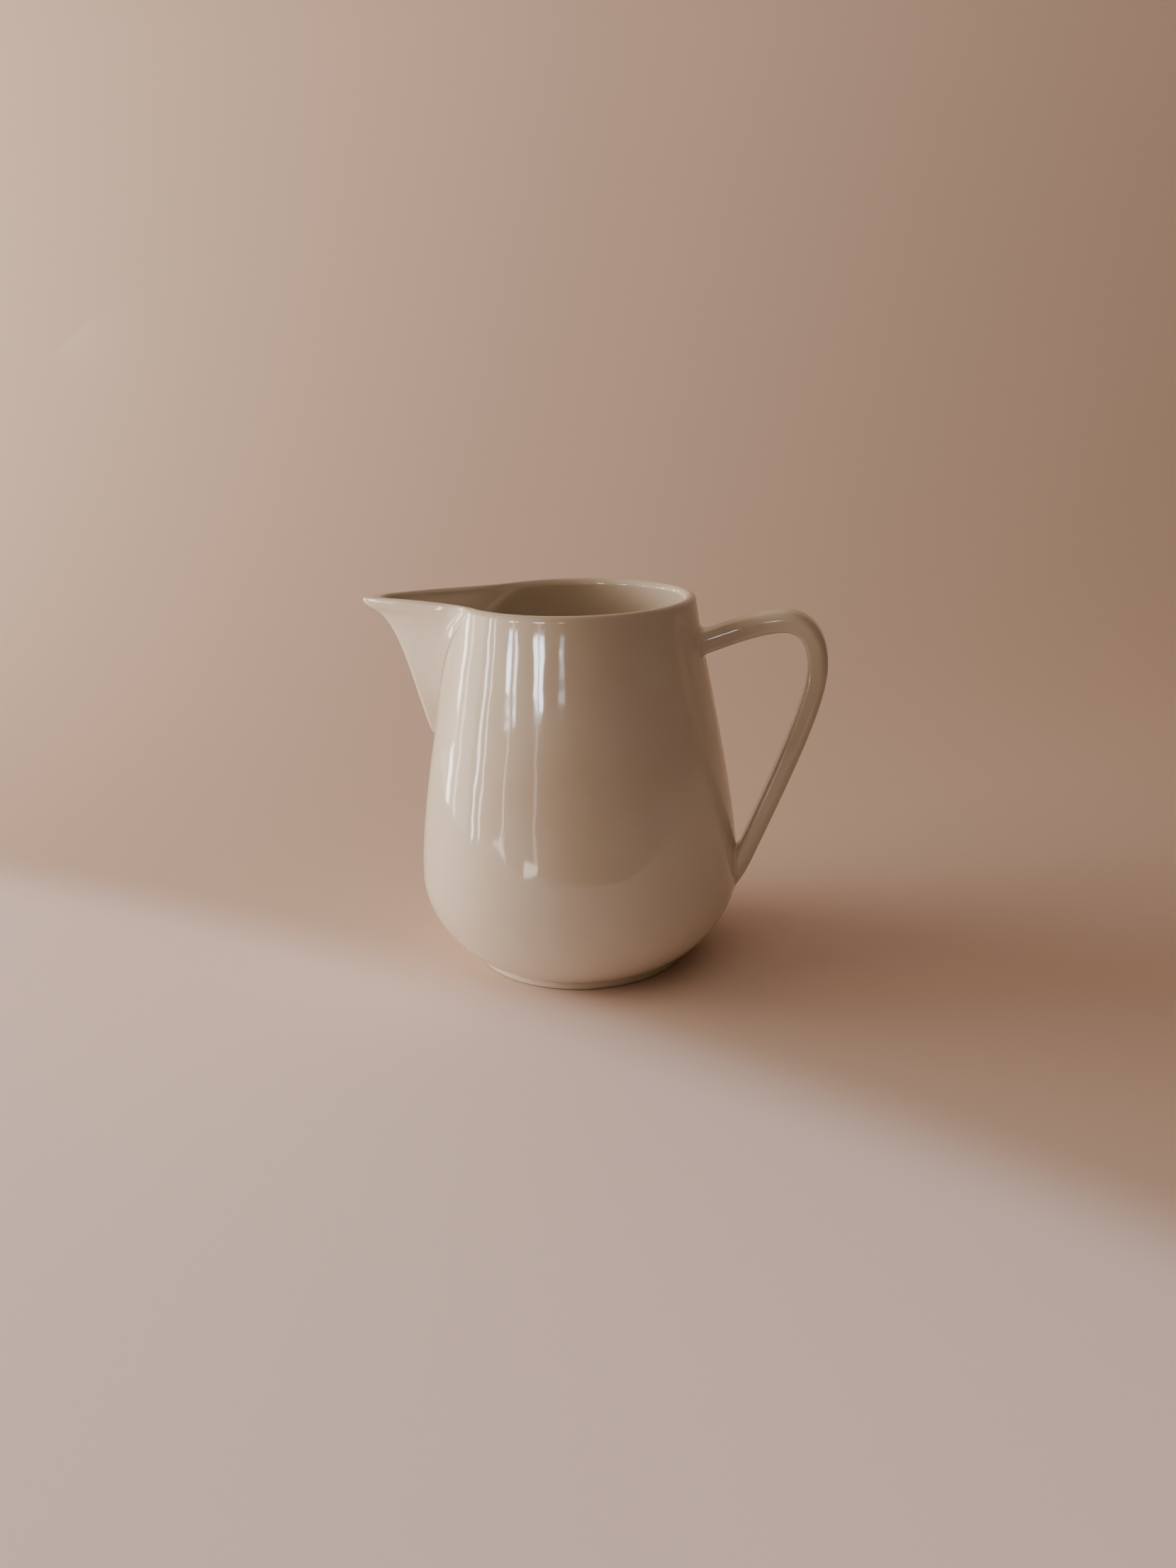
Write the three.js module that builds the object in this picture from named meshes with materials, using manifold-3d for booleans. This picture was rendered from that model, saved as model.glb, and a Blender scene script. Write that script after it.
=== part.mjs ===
// Ceramic pitcher in millimetres, +Z up: spout towards -X, handle towards +X.
// The body, its foot ring, the applied spout, the strap handle and the two
// slip joints that fix the handle are separate solids, set a hair apart.
import * as THREE from 'three';
import { mergeVertices } from 'three/addons/utils/BufferGeometryUtils.js';
import Module from 'manifold-3d';

// ---- driving dimensions ----------------------------------------------------
const rimHeight = 130;         // top of the rim above the table
const rimRadius = 39.65;       // middle of the rim's thickness
const wall = 4.2;              // wall thickness at the rim
const bellyRadius = 56.7;      // widest point of the body
const bellyHeight = 32;
const bellyWall = 3.8;         // wall thickness at the belly
const footRadius = 38;
const footHeight = 2.3;
const footWidth = 5;           // width of the ring that touches the table
const footEdge = 0.6;          // bevel of its outer lower edge
const floorTop = 7;            // inside floor above the table
const spoutReach = 75.1;       // tip of the spout from the body's axis
const spoutWall = 3;
const noseRadius = 5.2;        // rounding of the beak, seen from above
const tipClay = 3.4;           // solid clay between the channel and the tip
const lipHeight = 0.9;         // height of the tip's upright edge below the rim
const spoutBottom = 80.2;      // where the spout's keel leaves the body
const creaseHalfWidth = 27.5;  // half the spout's width where it meets the rim
const creaseFoot = 0.4;        // the same at its lower end
const flankHollow = 0.09;      // how far the flanks curve in, as a share of that width
const handleWidth = 12;        // strap width across the handle
const outsideCorner = 2.6;     // corner radius of the strap, outer face
const insideCorner = 1.4;      // corner radius towards the fingers
const strapTop = 6.9;          // strap thickness at the upper root
const strapBottom = 5.7;       // strap thickness at the lower root
const upperSlip = 2.6;         // how far the upper slip joint spreads over the body
const lowerSlip = 1.4;         // the same for the lower joint
const slipEdge = 0.9;          // thickness of slip where a joint ends on the strap
const gap = 0.3;               // clearance between touching pieces

const turns = 56;              // facets round the body
const rimSteps = 6;            // facets over the rounded rim
const curveSteps = 9;          // points along one stretch of a profile
const strapSteps = 44;         // sections along the handle

// ---- solids ------------------------------------------------------------------
const manifold = await Module();
manifold.setup();

// A closed three.js geometry as a solid that can be cut and joined.
function solidFrom(geometry) {
  const bare = geometry.clone();
  bare.deleteAttribute('normal');
  bare.deleteAttribute('uv');
  const merged = mergeVertices(bare);
  const corners = merged.index.array;
  const kept = [];
  for (let i = 0; i < corners.length; i += 3) {
    const [a, b, c] = [corners[i], corners[i + 1], corners[i + 2]];
    if (a !== b && b !== c && c !== a) kept.push(a, b, c);
  }
  return new manifold.Manifold(new manifold.Mesh({
    numProp: 3,
    vertProperties: new Float32Array(merged.attributes.position.array),
    triVerts: new Uint32Array(kept),
  }));
}

// A solid back as a three.js geometry.
function geometryFrom(solid) {
  const mesh = solid.getMesh();
  const geometry = new THREE.BufferGeometry();
  geometry.setAttribute('position', new THREE.BufferAttribute(mesh.vertProperties, 3));
  geometry.setIndex(new THREE.BufferAttribute(mesh.triVerts, 1));
  geometry.computeVertexNormals();
  return geometry;
}

// A closed loop of (radius, height) points turned about the body's axis.
function turned(points, radialSteps = turns) {
  const geometry = new THREE.LatheGeometry(points, radialSteps);
  geometry.rotateX(Math.PI / 2);
  return geometry;
}

// A skin over rings of equal length, closed by a fan at each end.
function lofted(rings) {
  const around = rings[0].length;
  const positions = rings.flat().flatMap((p) => [p.x, p.y, p.z]);
  const triangles = [];
  for (let i = 0; i + 1 < rings.length; i += 1) {
    for (let j = 0; j < around; j += 1) {
      const [a, b] = [i * around + j, i * around + (j + 1) % around];
      triangles.push(a, b, a + around, b, b + around, a + around);
    }
  }
  const last = (rings.length - 1) * around;
  for (let j = 1; j + 1 < around; j += 1) {
    triangles.push(0, j + 1, j);
    triangles.push(last, last + j, last + j + 1);
  }
  const geometry = new THREE.BufferGeometry();
  geometry.setAttribute('position', new THREE.Float32BufferAttribute(positions, 3));
  geometry.setIndex(triangles);
  return geometry;
}

const point = (x, y) => new THREE.Vector2(x, y);

// One curved stretch of an outline, from four control points.
function stretch(a, b, c, d, steps = curveSteps) {
  return new THREE.CubicBezierCurve(a, b, c, d).getPoints(steps);
}

// ---- body --------------------------------------------------------------------
// Outer side from the foot to the rim; grow moves it outwards.
function outerSide(grow = 0) {
  const foot = point(footRadius - 0.5 + grow, footHeight + gap);
  const belly = point(bellyRadius + grow, bellyHeight);
  const rim = point(rimRadius + wall / 2 + grow, rimHeight - wall / 2);
  const lower = stretch(
    foot, point(foot.x + 3.6, foot.y + 0.9), point(belly.x, belly.y - 16.6), belly,
  );
  const shoulder = point(rim.x + 1.42, rim.y - 13.9);
  const upper = stretch(belly, point(belly.x, belly.y + 26.5), shoulder, rim);
  return [...lower, ...upper.slice(1)];
}

// Inner side from the rim down to the floor.
function innerSide() {
  const rim = point(rimRadius - wall / 2, rimHeight - wall / 2);
  const belly = point(bellyRadius - bellyWall, bellyHeight);
  const floorEdge = point(26, floorTop + 0.4);
  const upper = stretch(rim, point(40.1, 112), point(belly.x, belly.y + 26), belly);
  const lower = stretch(belly, point(belly.x, belly.y - 14.5), point(43, floorTop + 1.2), floorEdge);
  return [...upper, ...lower.slice(1)];
}

// The rounded rim, from the outer side over the top to the inner side.
function rimArc() {
  const points = [];
  for (let i = 1; i < rimSteps; i += 1) {
    const angle = Math.PI * i / rimSteps;
    points.push(point(
      rimRadius + wall / 2 * Math.cos(angle),
      rimHeight - wall / 2 + wall / 2 * Math.sin(angle),
    ));
  }
  return points;
}

// The wall and floor of the body, without the opening for the spout.
function bodyWall() {
  const profile = [
    point(0, footHeight + gap), ...outerSide(), ...rimArc(), ...innerSide(), point(0, floorTop),
  ];
  return solidFrom(turned(profile));
}

// The body as a full solid, grown all round; neighbours are cut back to it.
function bodyEnvelope(grow) {
  const side = outerSide(grow);
  const profile = [
    point(0, 0), point(side[0].x, 0), ...side, point(side.at(-1).x, rimHeight + wall),
    point(0, rimHeight + wall),
  ];
  return solidFrom(turned(profile));
}

// ---- spout -------------------------------------------------------------------
const sideAbove = outerSide();

// Outer radius of the body at a height.
function bodyRadius(height) {
  const upper = sideAbove.findIndex((p) => p.y >= height);
  const i = Math.max(upper, 1);
  const [low, high] = [sideAbove[i - 1], sideAbove[i]];
  const t = THREE.MathUtils.clamp((height - low.y) / (high.y - low.y), 0, 1);
  return THREE.MathUtils.lerp(low.x, high.x, t);
}

// The keel, the spout's front edge seen from the side: (distance from the axis, height).
const keel = [
  ...stretch(point(52.6, spoutBottom), point(59, 100), point(62.5, 121.5), point(71.8, 125.4), 12),
  ...stretch(
    point(71.8, 125.4), point(73.8, 126.2), point(spoutReach, 127.3),
    point(spoutReach, rimHeight - lipHeight), 4,
  ).slice(1),
];

// Half the spout's width where it meets the body, widening towards the rim.
function creaseHalf(height) {
  const up = THREE.MathUtils.clamp((height - spoutBottom) / (rimHeight - spoutBottom), 0, 1);
  return creaseHalfWidth * up ** 1.6 + creaseFoot;
}

// One level of the spout: flanks from the body to a rounded nose, open to the axis side.
function spoutLevel(reach, height, inset, backReach) {
  const crease = Math.max(creaseHalf(height) - inset, gap);
  const root = Math.sqrt(bodyRadius(Math.min(height, rimHeight)) ** 2 - creaseHalf(height) ** 2);
  const room = (reach - inset - root) / 2 + gap;
  const nose = Math.min(noseRadius - inset * 0.8, room, crease * 0.9);
  const middle = reach - inset * 1.2 - nose;
  const hollow = flankHollow * (height - spoutBottom) / (rimHeight - spoutBottom);
  const flank = [];
  for (let i = 0; i <= 6; i += 1) {
    const t = i / 6;
    const bow = hollow * crease * Math.sin(Math.PI * t ** 0.7);
    flank.push(point(root + (middle - root) * t, crease + (nose - crease) * t - bow));
  }
  for (let i = 1; i <= 4; i += 1) {
    const angle = Math.PI / 2 * (1 - i / 4);
    flank.push(point(middle + nose * Math.cos(angle), nose * Math.sin(angle)));
  }
  const back = [point(backReach, crease)];
  const half = [...back, ...flank];
  const other = half.slice(0, -1).reverse().map((p) => point(p.x, -p.y));
  return [...half, ...other].map((p) => new THREE.Vector3(-p.x, p.y, height));
}

// The spout as a full wedge that reaches inside the body.
function spoutWedge() {
  const inside = rimRadius - creaseHalfWidth;
  const levels = keel.map((p) => spoutLevel(p.x, p.y, 0, inside));
  levels.push(spoutLevel(spoutReach - lipHeight, rimHeight, lipHeight / 2, inside));
  return solidFrom(lofted(levels));
}

// The channel that the drink runs along, open at the top and into the body.
function spoutChannel() {
  const floorLift = 3 * spoutWall;
  const levels = keel
    .filter((p) => p.y > spoutBottom + floorLift && p.y < rimHeight - 5)
    .map((p) => spoutLevel(p.x, p.y + 1, spoutWall, 0));
  const top = [rimHeight - 1.5, rimHeight + wall].map(
    (height) => spoutLevel(spoutReach - tipClay, height, spoutWall, 0),
  );
  return solidFrom(lofted([...levels, ...top]));
}

// ---- handle ------------------------------------------------------------------
// Middle line of the strap in the plane of symmetry: (distance from the axis, height).
function strapLine() {
  const path = new THREE.CurvePath();
  path.add(new THREE.CubicBezierCurve(
    point(42.5, 113.9), point(56, 118.9), point(64.5, 122), point(71.8, 122),
  ));
  path.add(new THREE.CubicBezierCurve(
    point(71.8, 122), point(78.9, 122), point(83, 115.5), point(83, 107),
  ));
  path.add(new THREE.CubicBezierCurve(
    point(83, 107), point(83, 93.5), point(70, 65.5), point(53, 24),
  ));
  return path;
}

// Rounded strap section: fuller corners outside, tighter corners towards the fingers.
function strapSection(width, thickness, grow) {
  const outside = outsideCorner + grow;
  const inside = insideCorner + grow;
  const half = width / 2 + grow;
  const deep = thickness / 2 + grow;
  const corners = [
    [half - outside, deep - outside, outside, 0],
    [-half + outside, deep - outside, outside, 1],
    [-half + inside, -deep + inside, inside, 2],
    [half - inside, -deep + inside, inside, 3],
  ];
  return corners.flatMap(([across, out, radius, quarter]) => [0, 0.5, 1].map((step) => {
    const angle = Math.PI / 2 * (quarter + step);
    return point(across + radius * Math.cos(angle), out + radius * Math.sin(angle));
  }));
}

// The strap between two places on its line (0 to 1); growAt swells its section there.
function strap(from, to, steps, growAt) {
  const path = strapLine();
  const rings = [];
  for (let i = 0; i <= steps; i += 1) {
    const place = THREE.MathUtils.lerp(from, to, i / steps);
    const middle = path.getPointAt(place);
    const along = path.getTangentAt(place);
    const out = point(-along.y, along.x);
    const thickness = THREE.MathUtils.lerp(strapTop, strapBottom, place);
    const section = strapSection(handleWidth, thickness, growAt(place));
    rings.push(section.map((p) => new THREE.Vector3(
      middle.x + out.x * p.y, p.x, middle.y + out.y * p.y,
    )));
  }
  return solidFrom(lofted(rings));
}

// A collar of slip round the root of the handle at one place on its line, as long as
// span says, that flares by reach in a hollow curve towards the body.
function slipJoint(root, span, reach, strapSolid) {
  const far = root + span;
  const flare = (place) => {
    const outward = THREE.MathUtils.clamp((place - root) / span, 0, 1);
    return slipEdge + reach * (1 - Math.sqrt(1 - (1 - outward) ** 2));
  };
  const collar = strap(Math.min(root, far), Math.max(root, far), 10, flare);
  return collar.subtract(bodyEnvelope(gap)).subtract(strapSolid);
}

// ---- glazes -------------------------------------------------------------------
const glaze = () => new THREE.MeshStandardMaterial({ color: 0xe9e2d3, roughness: 0.12, metalness: 0 });
const bareClay = () => new THREE.MeshStandardMaterial({ color: 0xd9cbb6, roughness: 0.7, metalness: 0 });

// ---- assembly -----------------------------------------------------------------
const pitcher = new THREE.Group();

function addPiece(name, solid, material) {
  const mesh = new THREE.Mesh(geometryFrom(solid), material);
  mesh.name = name;
  pitcher.add(mesh);
}

function footRing() {
  const [outer, inner] = [footRadius, footRadius - footWidth];
  return solidFrom(turned([
    point(inner + footEdge / 2, 0), point(outer - footEdge, 0), point(outer, footEdge),
    point(outer - footEdge / 2, footHeight), point(inner, footHeight), point(inner, footEdge),
    point(inner + footEdge / 2, 0),
  ]));
}

const channel = spoutChannel();
const handleSolid = strap(0, 1, strapSteps, () => 0).subtract(bodyEnvelope(gap));
const handleClearance = strap(0, 1, strapSteps, () => gap);

addPiece('vessel_body', bodyWall().subtract(channel), glaze());
addPiece('foot_ring', footRing(), bareClay());
addPiece('spout', spoutWedge().subtract(channel).subtract(bodyEnvelope(gap)), glaze());
addPiece('handle', handleSolid, glaze());
addPiece('handle_upper_slip_joint', slipJoint(0, 0.075, upperSlip, handleClearance), glaze());
addPiece('handle_lower_slip_joint', slipJoint(1, -0.12, lowerSlip, handleClearance), glaze());

// The origin is on the table, under the middle of the whole outline.
const outline = new THREE.Box3().setFromObject(pitcher);
pitcher.position.x = -(outline.min.x + outline.max.x) / 2;

export default pitcher;
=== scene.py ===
import math

import bmesh
import bpy
import numpy as np
from mathutils import Matrix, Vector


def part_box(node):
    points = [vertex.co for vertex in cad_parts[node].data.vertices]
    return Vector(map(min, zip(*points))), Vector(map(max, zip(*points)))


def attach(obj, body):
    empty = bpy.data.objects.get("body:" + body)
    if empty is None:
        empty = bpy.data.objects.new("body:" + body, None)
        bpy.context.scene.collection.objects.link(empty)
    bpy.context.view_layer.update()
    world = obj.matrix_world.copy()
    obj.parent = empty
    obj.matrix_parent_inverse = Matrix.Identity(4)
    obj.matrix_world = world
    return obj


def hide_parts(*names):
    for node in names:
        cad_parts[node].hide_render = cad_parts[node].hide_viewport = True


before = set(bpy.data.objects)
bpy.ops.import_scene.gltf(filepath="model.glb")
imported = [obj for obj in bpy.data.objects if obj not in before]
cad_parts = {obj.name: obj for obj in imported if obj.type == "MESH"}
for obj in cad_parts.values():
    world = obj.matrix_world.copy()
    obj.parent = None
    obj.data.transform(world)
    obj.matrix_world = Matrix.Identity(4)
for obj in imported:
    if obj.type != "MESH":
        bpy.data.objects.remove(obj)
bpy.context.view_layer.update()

mm = 0.001  # shapes are worked out in millimetres from the body's axis, then placed in metres
footLow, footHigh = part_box("foot_ring")
bodyLow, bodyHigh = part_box("vessel_body")
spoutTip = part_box("spout")[0]
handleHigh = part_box("handle")[1]
axisX = (footLow.x + footHigh.x) / 2 / mm  # the body's axis in the frame
rimTop = bodyHigh.z / mm
print("frame loaded, axis at x =", round(axisX, 2), "mm")


# Cubic Bezier: (1-t)^3 a + 3(1-t)^2 t b + 3(1-t)t^2 c + t^3 d, for whole arrays of t.
def bezier(a, b, c, d, t):
    return (1 - t) ** 3 * a + 3 * (1 - t) ** 2 * t * b + 3 * (1 - t) * t ** 2 * c + t ** 3 * d


# A chain of Bezier stretches (a list of four-point lists) as one line of x and y.
def outline(stretches, count=120):
    t = np.linspace(0, 1, count)[:, None]
    parts = [bezier(*[np.array(p, float) for p in s], t) for s in stretches]
    return np.concatenate([parts[0]] + [p[1:] for p in parts[1:]])


# From low to high by a share from 0 to 1: low + (high - low) share.
def between(ends, share):
    return ends[0] + (ends[1] - ends[0]) * share


# Smooth step: 3x^2 - 2x^3 with x clipped to 0..1.
def smooth(x):
    x = np.clip(x, 0, 1)
    return x * x * (3 - 2 * x)


# The least of several positive arrays, rounded where they cross: (sum a^-4)^(-1/4).
def softLeast(*arrays):
    return sum(np.maximum(a, 1e-5) ** -4.0 for a in arrays) ** -0.25


# Polar (radius, angle from the spout's side, height) to metres in the frame.
def placePolar(radius, angle, height):
    x = axisX - radius * np.cos(angle)
    y = radius * np.sin(angle)
    return np.stack(np.broadcast_arrays(x, y, height), -1) * mm


# Faces of a grid of rows by columns, numbered row by row; either way round may be closed.
def gridFaces(rows, columns, closeRows=False, closeColumns=False):
    r = np.arange(rows if closeRows else rows - 1)[:, None]
    c = np.arange(columns if closeColumns else columns - 1)[None, :]
    nextRow = (r + 1) % rows
    nextColumn = (c + 1) % columns
    corners = (r * columns + c, r * columns + nextColumn,
               nextRow * columns + nextColumn, nextRow * columns + c)
    return np.stack([np.broadcast_to(k, (len(r), c.shape[1])) for k in corners], -1).reshape(-1, 4)


# A mesh object from points and four-cornered faces, with its doubles merged and faces outwards.
def makePiece(name, points, faces, materials, faceMaterial=None, sharpAngle=50):
    mesh = bpy.data.meshes.new(name)
    points = np.asarray(points).reshape(-1, 3)
    mesh.vertices.add(len(points))
    mesh.vertices.foreach_set("co", points.astype(np.float32).ravel())
    faces = np.asarray(faces)
    mesh.loops.add(faces.size)
    mesh.loops.foreach_set("vertex_index", faces.astype(np.int32).ravel())
    mesh.polygons.add(len(faces))
    mesh.polygons.foreach_set("loop_start", (np.arange(len(faces)) * 4).astype(np.int32))
    if faceMaterial is not None:
        mesh.polygons.foreach_set("material_index", np.asarray(faceMaterial).astype(np.int32))
    mesh.update(calc_edges=True)
    tidyMesh(mesh)
    mesh.shade_smooth()
    mesh.set_sharp_from_angle(angle=math.radians(sharpAngle))
    for material in materials:
        mesh.materials.append(material)
    piece = bpy.data.objects.new(name, mesh)
    bpy.context.scene.collection.objects.link(piece)
    return piece


# Merges the doubles along seams and at poles, turns the faces outwards and counts what is left open.
def tidyMesh(mesh):
    work = bmesh.new()
    work.from_mesh(mesh)
    bmesh.ops.remove_doubles(work, verts=work.verts, dist=1e-7)
    bmesh.ops.recalc_face_normals(work, faces=work.faces)
    openEdges = sum(1 for e in work.edges if len(e.link_faces) != 2)
    print("  ", mesh.name, len(work.faces), "faces,", openEdges, "open edges")
    work.to_mesh(mesh)
    work.free()


# sRGB hex to linear colour: c/12.92 below 0.04045, else ((c + 0.055) / 1.055)^2.4.
def linear(hexColour):
    parts = [int(hexColour[i:i + 2], 16) / 255 for i in (1, 3, 5)]
    return [c / 12.92 if c <= 0.04045 else ((c + 0.055) / 1.055) ** 2.4 for c in parts] + [1.0]


# Adds one node with its settings and its inputs; an input is a value or another node's socket.
def addNode(tree, kind, inputs=None, **settings):
    node = tree.nodes.new(kind)
    for key, value in settings.items():
        setattr(node, key, value)
    for key, value in (inputs or {}).items():
        if isinstance(value, bpy.types.NodeSocket):
            tree.links.new(value, node.inputs[key])
        else:
            node.inputs[key].default_value = value
    return node


# A material with an empty node tree, and that tree.
def newMaterial(name):
    material = bpy.data.materials.new(name)
    material.use_nodes = True
    material.node_tree.nodes.clear()
    return material, material.node_tree


glaze = {
    "colour": "#ded6c6",      # warm white body seen through clear glaze
    "cloud": "#d3c7b2",       # where the glaze runs thicker and yellower
    "speck": "#6b5238",       # iron specks
    "cloudSize": 38,          # mm
    "speckSize": 9,           # mm between possible specks
    "speckRadius": 0.03,      # as a share of that
    "roughness": 0.07,
    "ior": 1.6,
    "cloudRange": (0.35, 0.75),  # noise values between which the clouds fade in
    "cloudMost": 0.7,
    "speckShare": 0.2,        # share of the places that hold a speck
    "speckStrength": 0.75,
    "rippleSize": 14,         # mm, slow unevenness of the glaze coat
    "rippleDepth": 0.35,      # mm
    "rippleStrength": 0.6,
    "peelSize": 1.6,          # mm, fine orange peel
    "peelDepth": 0.03,        # mm
    "peelStrength": 0.08,
}


# Glazed porcelain: a white clay under a clear, slightly pooled glaze, which gives
# mirror-sharp lights that waver a little, over an even warm white.
def glazedPorcelain():
    material, tree = newMaterial("glazedPorcelain")
    place = addNode(tree, "ShaderNodeTexCoord")
    at = place.outputs["Object"]
    cloud = addNode(tree, "ShaderNodeTexNoise", {
        "Vector": at, "Scale": 1 / (glaze["cloudSize"] * mm), "Detail": 3.0, "Roughness": 0.5})
    cloudAmount = addNode(tree, "ShaderNodeMapRange", {
        "Value": cloud.outputs["Fac"], "From Min": glaze["cloudRange"][0],
        "From Max": glaze["cloudRange"][1], "To Min": 0.0, "To Max": glaze["cloudMost"]})
    base = addNode(tree, "ShaderNodeMix", {
        "Factor": cloudAmount.outputs["Result"], 6: linear(glaze["colour"]), 7: linear(glaze["cloud"])},
        data_type="RGBA")
    cells = addNode(tree, "ShaderNodeTexVoronoi", {
        "Vector": at, "Scale": 1 / (glaze["speckSize"] * mm), "Randomness": 1.0})
    chance = addNode(tree, "ShaderNodeSeparateColor", {"Color": cells.outputs["Color"]})
    size = addNode(tree, "ShaderNodeMapRange", {
        "Value": chance.outputs["Red"], "From Min": 1 - glaze["speckShare"], "From Max": 1.0,
        "To Min": 0.0, "To Max": glaze["speckRadius"]})
    speck = addNode(tree, "ShaderNodeMath", {0: cells.outputs["Distance"], 1: size.outputs["Result"]},
                    operation="LESS_THAN")
    speckAmount = addNode(tree, "ShaderNodeMath", {0: speck.outputs["Value"], 1: glaze["speckStrength"]},
                          operation="MULTIPLY")
    colour = addNode(tree, "ShaderNodeMix", {
        "Factor": speckAmount.outputs["Value"], 6: base.outputs[2], 7: linear(glaze["speck"])},
        data_type="RGBA")
    ripple = addNode(tree, "ShaderNodeTexNoise", {
        "Vector": at, "Scale": 1 / (glaze["rippleSize"] * mm), "Detail": 1.0})
    rippleBump = addNode(tree, "ShaderNodeBump", {
        "Strength": glaze["rippleStrength"], "Distance": glaze["rippleDepth"] * mm,
        "Height": ripple.outputs["Fac"]})
    peel = addNode(tree, "ShaderNodeTexNoise", {
        "Vector": at, "Scale": 1 / (glaze["peelSize"] * mm), "Detail": 1.0})
    peelBump = addNode(tree, "ShaderNodeBump", {
        "Strength": glaze["peelStrength"], "Distance": glaze["peelDepth"] * mm, "Height": peel.outputs["Fac"],
        "Normal": rippleBump.outputs["Normal"]})
    shader = addNode(tree, "ShaderNodeBsdfPrincipled", {
        "Base Color": colour.outputs[2], "Roughness": glaze["roughness"], "IOR": glaze["ior"],
        "Normal": peelBump.outputs["Normal"]})
    addNode(tree, "ShaderNodeOutputMaterial", {"Surface": shader.outputs["BSDF"]})
    return material


foot = {
    "bareColour": "#cbb8a0",   # fired clay without glaze
    "stain": "#a58a6c",        # grime on the wiped edge
    "grainSize": 0.5,          # mm, grain of the fired clay
    "grainDepth": 0.05,        # mm
    "grainStrength": 0.4,
    "roughness": 0.75,
    "columns": 240,
    "bareHeight": 0.7,         # mm of bare edge above the table
    "profile": [(32.9, 0.5), (33.3, 0.08), (33.9, 0.0), (36.9, 0.0), (37.6, 0.12), (37.9, 0.5),
                (37.95, 1.0), (37.9, 1.7), (37.75, 2.3), (37.5, 3.0), (32.6, 3.0), (32.7, 1.6)],
}


# Unglazed biscuit: wiped, fired clay, dull and slightly gritty, stained by use.
def unglazedBiscuit():
    material, tree = newMaterial("unglazedBiscuit")
    place = addNode(tree, "ShaderNodeTexCoord")
    grain = addNode(tree, "ShaderNodeTexNoise", {
        "Vector": place.outputs["Object"], "Scale": 1 / (foot["grainSize"] * mm), "Detail": 4.0})
    colour = addNode(tree, "ShaderNodeMix", {
        "Factor": grain.outputs["Fac"], 6: linear(foot["bareColour"]), 7: linear(foot["stain"])},
        data_type="RGBA")
    bump = addNode(tree, "ShaderNodeBump", {
        "Strength": foot["grainStrength"], "Distance": foot["grainDepth"] * mm,
        "Height": grain.outputs["Fac"]})
    shader = addNode(tree, "ShaderNodeBsdfPrincipled", {
        "Base Color": colour.outputs[2], "Roughness": foot["roughness"],
        "Normal": bump.outputs["Normal"]})
    addNode(tree, "ShaderNodeOutputMaterial", {"Surface": shader.outputs["BSDF"]})
    return material


vessel = {
    "rimRadius": 39.65,          # middle of the rim's thickness
    "rimHalf": 2.1,              # the rim is a full round of this radius
    "bellyRadius": (bodyHigh.y - bodyLow.y) / 2 / mm,
    "bellyHeight": 32,
    "wall": 3.8,
    "footTop": 2.5,
    "floorTop": 7.0,
    "recessRadius": 36.0,        # the base inside the foot ring
    "recessRise": 0.15,
    "rowGap": 0.5,               # mm kept between the spout's foot and the rows below it
    "columns": 260,
    "crowding": 0.93,            # how far the columns crowd towards the spout, 0 to 1
    "unevenness": 0.045,         # mm, the hand-finished waviness of the wall
    "jointDepth": 0.32,          # mm, the tooled line where the spout is joined on
    "jointWidth": 0.55,
}
rimEdge = rimTop - vessel["rimHalf"]
outerLine = outline([
    [(37.55, vessel["footTop"]), (41.2, 3.4), (vessel["bellyRadius"], 15.4),
     (vessel["bellyRadius"], vessel["bellyHeight"])],
    [(vessel["bellyRadius"], vessel["bellyHeight"]), (vessel["bellyRadius"], 58.5), (43.17, 114),
     (vessel["rimRadius"] + vessel["rimHalf"], rimEdge)],
])
innerBelly = vessel["bellyRadius"] - vessel["wall"]
innerLine = outline([
    [(0, vessel["floorTop"]), (12, vessel["floorTop"]), (18, vessel["floorTop"]), (26, 7.4)],
    [(26, 7.4), (43, 8.2), (innerBelly, 17.5), (innerBelly, vessel["bellyHeight"])],
    [(innerBelly, vessel["bellyHeight"]), (innerBelly, 58), (40.1, 112),
     (vessel["rimRadius"] - vessel["rimHalf"], rimEdge)],
])


# Outer radius: the profile plus slow waves, sum of sin(k angle + m height + phase), which
# fade out at the foot and the rim.
def outerRadius(angle, height):
    radius = np.interp(height, outerLine[:, 1], outerLine[:, 0])
    waves = (np.sin(2 * angle + 0.045 * height + 0.4) + 0.7 * np.sin(3 * angle - 0.07 * height + 2.1)
             + 0.5 * np.sin(0.19 * height + 1.3) + 0.4 * np.sin(5 * angle + 0.11 * height))
    fade = smooth((height - 6) / 20) * smooth((rimTop - 4 - height) / 22)
    inward = (1 - waves / 2.6) / 2   # 0..1, so that the wall never leaves its true size
    return radius - 2 * vessel["unevenness"] * inward * fade


# Inner radius: the profile above the flat of the floor, where the height only rises.
def innerRadius(height):
    return np.interp(height, innerLine[60:, 1], innerLine[60:, 0])


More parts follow.
